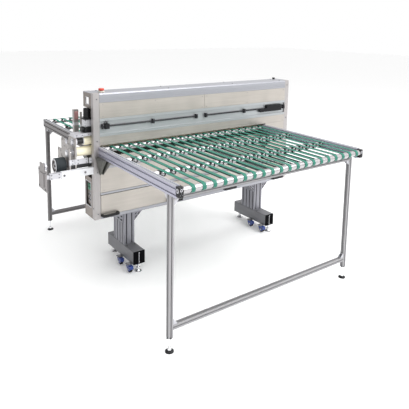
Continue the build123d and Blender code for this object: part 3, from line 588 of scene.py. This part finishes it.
def add_drive_details(bright, black, screws, white, mark):
    rings = bmesh.new()
    bolts = bmesh.new()
    lower, upper, drum = (centre_of(n) for n in ("lower_nip_roller", "upper_nip_roller", "drive_drum"))
    for axis in (lower, upper):
        flanged_bearing(rings, bolts, Vector((left + BEARING_PLATE * MM, axis.y, axis.z)), -1, 12.6)
    flanged_bearing(rings, bolts, Vector((left + DRIVE_PLATE * MM, lower.y, lower.z)), -1, 12.6)
    flanged_bearing(rings, bolts, Vector((left + DRIVE_PLATE * MM, drum.y, drum.z)), -1, 10.6)
    add_piece("bearing_flanges", rings, bright)

    for node, body, start in (("lower_nip_roller", "lower_nip", -97), ("upper_nip_roller", "upper_nip", -42)):
        axis = centre_of(node)
        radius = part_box(node)[1].z / MM - axis.z / MM
        end = Vector((left + start * MM, axis.y, axis.z))
        ring = bmesh.new()
        outline = [(0, 12.3), (0, radius - 1), (-3, radius - 1), (-4.5, radius - 3), (-4.5, 12.3)]
        lathe(ring, end, "X", outline, closed=True)
        add_piece(f"{body}_end_ring", ring, white, body)
        neck = bmesh.new()
        reach = 10 if body == "lower_nip" else 50
        outline = [(-4.5, 12.2), (-4.5, 21), (-reach + 1, 21), (-reach, 19), (-reach, 12.2)]
        lathe(neck, end, "X", outline, closed=True)
        add_piece(f"{body}_neck", neck, black, body)
        if body == "upper_nip":
            second = bmesh.new()
            outline = [(-50, 12.3), (-50, 26), (-54, 27), (-60, 27), (-64, 26), (-64, 12.3)]
            lathe(second, end, "X", outline, closed=True)
            add_piece("upper_nip_pulley", second, white, body)

    face = bmesh.new()
    drum_face = Vector((left - 238 * MM, drum.y, drum.z))
    outline = [(0.4, 39.5), (-1.8, 40), (-2.4, 44), (-1.8, 48), (0.4, 48.6)]
    lathe(face, drum_face, "X", outline, closed=True)
    add_piece("drum_face_ring", face, white, "drive_drum")
    hub = bmesh.new()
    lathe(hub, Vector((left - 226 * MM, drum.y, drum.z)), "X",
          [(0, 10.4), (0, 26), (-6, 25), (-8, 18), (-10, 16), (-10, 10.4)], closed=True)
    for k in range(3):
        angle = 2 * math.pi * k / 3
        around = Vector((0, 21 * MM * math.cos(angle), 21 * MM * math.sin(angle)))
        spot = Vector((left - 232 * MM, drum.y, drum.z)) + around
        socket_screw(hub, spot, "X", 3, 2.5, -1)
    add_piece("drum_hub", hub, bright, "drive_drum")

    # A black strip between the outrigger beam and the plates above it.
    strip = bmesh.new()
    for x_low, x_high in ((-148, -118), (-108, -1)):
        bevelled_block(strip, at(x_low, 42, 861), at(x_high, 50, 886), 1)
    add_piece("drive_black_strip", strip, black)

    for x in (-205, -60):
        screw_on(bolts, at(x, 8, 836), Vector((0, -1, 0)), 7, 4)
    for x in (-290, -240):
        for z in (828, 850):
            screw_on(bolts, at(x, 8, z), Vector((0, -1, 0)), 3.5, 3)
    for x, z in ((-134, 895), (-134, 916), (-96, 895), (-96, 916), (-38, 895), (-38, 916), (-10, 906)):
        screw_on(bolts, at(x, 42 if x < -20 else 30, z), Vector((0, -1, 0)), 3.5, 3)
    for x in (-100, -60, -16, 30):
        screw_on(bolts, at(x, 48, 1085), Vector((0, -1, 0)), 3.5, 3)
    for y, z in ((-4, 765), (122, 765), (-4, 877), (122, 877)):
        screw_on(bolts, at(END_PLATE_FACE, y, z), Vector((-1, 0, 0)), 5, 3.5)
    for z in (838, 860, 1010, 1062):
        for y in (46, 152):
            screw_on(bolts, at(BEARING_PLATE, y, z), Vector((-1, 0, 0)), 3.5, 3)
    for y_pair, z_pair in (((520, 690), (780, 920)), ((730, 785), (760, 820))):
        for z in z_pair:
            for y in y_pair:
                screw_on(bolts, at(UPRIGHT_PLATE, y, z), Vector((-1, 0, 0)), 4, 3)
    add_piece("drive_screws", bolts, screws)

    bearing = bmesh.new()
    outline = [(0, 0), (0, 23), (3, 23), (5, 19), (5, 10), (2, 9), (2, 0)]
    lathe(bearing, at(UPRIGHT_PLATE, 595, 923), "X", outline, -1)
    outline = [(0, 0), (0, 30), (2, 30), (4, 26), (4, 14), (7, 13), (7, 0)]
    lathe(bearing, at(UPRIGHT_PLATE, 640, 850), "X", outline, -1)
    add_piece("infeed_plate_bearings", bearing, bright)

    knob = bmesh.new()
    outline = [(3, 0), (3, 10), (8, 12), (12, 20), (20, 22), (26, 20), (28, 12), (28, 0)]
    lathe(knob, at(-335, 60, 905), "X", outline)
    for k in range(6):
        angle = 2 * math.pi * k / 6
        spot = at(-335 + 12, 60 + 20 * math.cos(angle), 905 + 20 * math.sin(angle))
        lathe(knob, spot, "X", [(0, 0), (1, 7), (4, 8), (11, 8), (14, 6), (15, 0)], count=20)
    add_piece("end_plate_knob", knob, bright)

    motor = centre_of("head_motor")
    motor_x = left - 12 * MM
    fins = bmesh.new()
    for k in range(7):
        fin_place = Vector((motor_x, motor.y, (1199 + 8.4 * k) * MM))
        lathe(fins, fin_place, "Z", [(0, 21.5), (0, 24.5), (2.4, 24.5), (2.4, 21.5)], closed=True)
    add_piece("head_motor_fins", fins, black)
    cover = bmesh.new()
    angles = [math.pi * k / 16 for k in range(17)]
    arch = [(-22, -22)] + [(-22 * math.cos(a), 22 * math.sin(a)) for a in angles] + [(22, -22)]
    inner = [(14, -22)] + [(14 * math.cos(a), 14 * math.sin(a)) for a in angles] + [(-14, -22)]
    upright = Matrix.Rotation(math.pi / 2, 4, "X")
    place = Matrix.Translation(Vector((motor_x, motor.y - 22 * MM, 1.118))) @ upright
    prism(cover, arch + inner, place, 6)
    add_piece("head_motor_arch", cover, black)
    gear_screws = bmesh.new()
    for dx in (-21, 21):
        for dz in (1144, 1181):
            spot = Vector((motor_x + dx * MM, motor.y - 26 * MM, dz * MM))
            screw_on(gear_screws, spot, Vector((0, -1, 0)), 3, 2.5)
    add_piece("head_motor_screws", gear_screws, screws)

    reader = bmesh.new()
    bevelled_block(reader, at(36, 436, 1120), at(66, 442, 1180), 1.5)
    add_piece("upright_sensor_plate", reader, mark)


def add_base_details(bright, black, screws, chrome):
    low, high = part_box("foot_beams")
    bolts = bmesh.new()
    for number in range(1, 5):
        foot = centre_of(f"pedestal_foot_{number}")
        nut = bmesh.new()
        hexagon_nut(nut, Vector((foot.x, foot.y, 47 * MM)), "Z", 12, 8.2, 10)
        collar = [(0, 8.2), (0, 13), (3, 14), (5, 13), (5, 8.2)]
        lathe(nut, Vector((foot.x, foot.y, 24 * MM)), "Z", collar, closed=True)
        add_piece(f"pedestal_foot_nut_{number}", nut, chrome, f"pedestal_foot_{number}")
        fork = f"caster_fork_{number}"
        wheel = centre_of(f"caster_wheel_{number}")
        pin = bmesh.new()
        pivot = Vector((wheel.x, wheel.y + CASTER_TRAIL * MM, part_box(fork)[1].z))
        lathe(pin, pivot, "Z", [(0, 0), (0, 9, 6), (5, 9, 6), (6, 7), (6, 0)])
        add_piece(f"caster_nut_{number}", pin, bright, fork)
        caps = bmesh.new()
        for side in (-1, 1):
            lathe(caps, Vector((wheel.x + side * 15 * MM, wheel.y, wheel.z)), "X",
                  [(0, 0), (0, 7, 6), (3, 7, 6), (4, 5), (4, 0)], side)
        add_piece(f"caster_axle_nuts_{number}", caps, bright, fork)
    for table in table_names:
        for side in ("left", "right"):
            body = f"{table}_{side}_foot"
            foot = centre_of(body)
            nut = bmesh.new()
            hexagon_nut(nut, Vector((foot.x, foot.y, 78 * MM)), "Z", 8.5, 5.2, 7)
            hexagon_nut(nut, Vector((foot.x, foot.y, 24 * MM)), "Z", 8, 5.2, 6)
            add_piece(body + "_nuts", nut, chrome, body)
    column_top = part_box("columns")[1].z
    # Painted shade: thin black triangles set inside the gussets show as dark slots, standing for the shade in
    # them.
    slot_shade_sheets = bmesh.new()
    strips = bmesh.new()
    strip_low, strip_high = low.z / MM + 18, low.z / MM + 82
    screw_outline = [(0, 0), (0, 4.5), (0.5, 4.5), (1.5, 3), (1.8, 0)]
    for centre in PEDESTAL_PLACES:
        for side in (-1, 1):
            corner = Vector((left + (centre + side * COLUMN_HALF) * MM, back + 10 * MM, column_top))
            outline = [(side * 2, -2), (side * 66, -2), (side * 2, -66)]
            turn = Matrix.Translation(corner) @ Matrix.Rotation(math.pi / 2, 4, "X")
            prism(slot_shade_sheets, outline, turn, 1)
            for y in (320, 340):
                spot = at(centre + side * COLUMN_HALF, y, column_top / MM - 22)
                screw_on(bolts, spot, Vector((side, 0, 0)), 5, 4)
        cap_front = (low.y - front) / MM
        strip_start = at(centre - 2.5, cap_front - 3, strip_low)
        bevelled_block(strips, strip_start, at(centre + 2.5, cap_front - 0.5, strip_high), 1)
        for dz in (14, 86):
            lathe(strips, at(centre, cap_front - 4, low.z / MM + dz), "Y", screw_outline, -1, count=20)
        for y in (140, 180, 380):
            screw_on(bolts, at(centre + 34, y, high.z / MM), Vector((0, 0, 1)), 5, 4)
            screw_on(bolts, at(centre - 34, y, high.z / MM), Vector((0, 0, 1)), 5, 4)
    add_piece("base_screws", bolts, screws)
    # The black triangles inside the gussets are painted shade.
    add_piece("gusset_slot_shade", slot_shade_sheets, black)
    add_piece("foot_beam_cap_strips", strips, bright)


def add_channel_details(screws):
    bolts = bmesh.new()
    for place in ROD_SUPPORTS:
        for dz in (-11, 11):
            screw_on(bolts, at(place + 7, -13, ROD_HEIGHT + dz), Vector((0, -1, 0)), 3, 1.6)
    add_piece("rod_bracket_screws", bolts, screws)
    clamp = bmesh.new()
    head = at(96, -6, 1170)
    lathe(clamp, head, "Z", [(0, 0), (0, 7), (1, 9), (7, 9), (9, 7), (9, 0)])
    add_piece("left_carriage_thumb_screw", clamp, screws, "left_carriage")


dress_housing()
dress_tables()
dress_drive()
dress_base()

bright_detail = material("detail_aluminium", ((0.55, 0.55, 0.58), 0.34, 0.6), scale=120, vary=0.06)
black_detail = material("detail_black", BLACK, scale=250, vary=0.1)
screw_detail = material("detail_screws", ((0.16, 0.16, 0.17), 0.32, 0.8), scale=200, vary=0.06)
white_detail = material("detail_white", WHITE_PAINT, scale=120, vary=0.03)
chrome_detail = material("detail_chrome", CHROME, scale=120, vary=0.03)
green_detail = material("detail_green", TERMINAL_GREEN, scale=120, vary=0.05)
pale_detail = material("detail_pale", PALE_PLASTIC, scale=120, vary=0.05)
mark_detail = material("detail_mark", PINK_MARK, scale=120, vary=0.1)

add_table_hardware(bright_detail, black_detail, screw_detail)
add_roller_bracket_details(bright_detail, screw_detail)
add_housing_details(bright_detail, black_detail, screw_detail, pale_detail)
add_sockets(green_detail, black_detail, bright_detail)
add_drive_details(bright_detail, black_detail, screw_detail, white_detail, mark_detail)
add_base_details(bright_detail, black_detail, screw_detail, chrome_detail)
add_channel_details(screw_detail)


# ---------------------------------------------------------------- floor, lights and camera
def add_floor():
    mesh = bpy.data.meshes.new("floor")
    bm = bmesh.new()
    bmesh.ops.create_grid(bm, x_segments=1, y_segments=1, size=FLOOR_HALF)
    bm.to_mesh(mesh)
    bm.free()
    floor = bpy.data.objects.new("floor", mesh)
    bpy.context.scene.collection.objects.link(floor)
    pale = material("floor_pale", FLOOR, scale=3, vary=0.01)
    shader = pale.node_tree.nodes["Principled BSDF"]
    shader.inputs["Emission Color"].default_value = (1.0, 1.0, 1.0, 1.0)
    shader.inputs["Emission Strength"].default_value = FLOOR_GLOW
    mesh.materials.append(pale)


def add_light(name, place, aim, size, power):
    data = bpy.data.lights.new(name, "AREA")
    data.shape = "RECTANGLE"
    data.size, data.size_y = size
    data.energy = power
    light = bpy.data.objects.new(name, data)
    light.location = place
    light.rotation_mode = "QUATERNION"
    light.rotation_quaternion = (Vector(aim) - Vector(place)).to_track_quat("-Z", "Y")
    bpy.context.scene.collection.objects.link(light)


def add_world():
    """A white room, brighter towards the front, the right and above; the backdrop itself is plain white."""
    world = bpy.data.worlds.new("soft_white")
    world.use_nodes = True
    tree = world.node_tree
    background = tree.nodes["Background"]
    background.inputs["Color"].default_value = (1.0, 1.0, 1.0, 1.0)
    place = tree.nodes.new("ShaderNodeTexCoord")
    facing = tree.nodes.new("ShaderNodeVectorMath")
    facing.operation = "DOT_PRODUCT"
    facing.inputs[1].default_value = WORLD_BRIGHT_SIDE
    spread = tree.nodes.new("ShaderNodeMapRange")
    spread.inputs["From Min"].default_value = -WORLD_SPREAD
    spread.inputs["From Max"].default_value = WORLD_SPREAD
    spread.inputs["To Min"].default_value = WORLD_DIM
    spread.inputs["To Max"].default_value = WORLD_BRIGHT
    seen = tree.nodes.new("ShaderNodeLightPath")
    choose = tree.nodes.new("ShaderNodeMix")
    choose.data_type = "FLOAT"
    choose.inputs["B"].default_value = 1.0
    link(tree, place.outputs["Generated"], facing.inputs[0])
    link(tree, facing.outputs["Value"], spread.inputs["Value"])
    link(tree, spread.outputs["Result"], choose.inputs["A"])
    link(tree, seen.outputs["Is Camera Ray"], choose.inputs["Factor"])
    link(tree, choose.outputs[0], background.inputs["Strength"])
    bpy.context.scene.world = world


def add_camera():
    """A standing viewer in front of the machine's left end, looking right and down at it."""
    place = (-2.0497, -3.1658, 1.8301)
    yaw, pitch, roll = 0.6254, 0.149, 0.0176
    sensor = 36
    lens_over_width = 1.2019
    shift = -0.2555
    far_limit = 100
    forward = Vector((math.sin(yaw) * math.cos(pitch), math.cos(yaw) * math.cos(pitch), -math.sin(pitch)))
    level = forward.cross(Vector((0, 0, 1))).normalized()
    upright = level.cross(forward)
    across = math.cos(roll) * level + math.sin(roll) * upright
    up = -math.sin(roll) * level + math.cos(roll) * upright
    data = bpy.data.cameras.new("camera")
    data.sensor_width = sensor
    data.lens = sensor * lens_over_width
    data.shift_y = shift
    data.clip_end = far_limit
    camera = bpy.data.objects.new("camera", data)
    bpy.context.scene.collection.objects.link(camera)
    turn = Matrix((across, up, -forward)).transposed()
    camera.matrix_world = Matrix.Translation(place) @ turn.to_4x4()
    bpy.context.scene.camera = camera


add_floor()
add_world()
add_light("key", (2.5, -5.0, 5.0), (0, 0, 0.8), (4, 3), 300)
add_light("top", (0, 0, 5.5), (0, 0, 0), (5, 4), 160)
add_camera()
bpy.context.scene.view_settings.view_transform = "Standard"
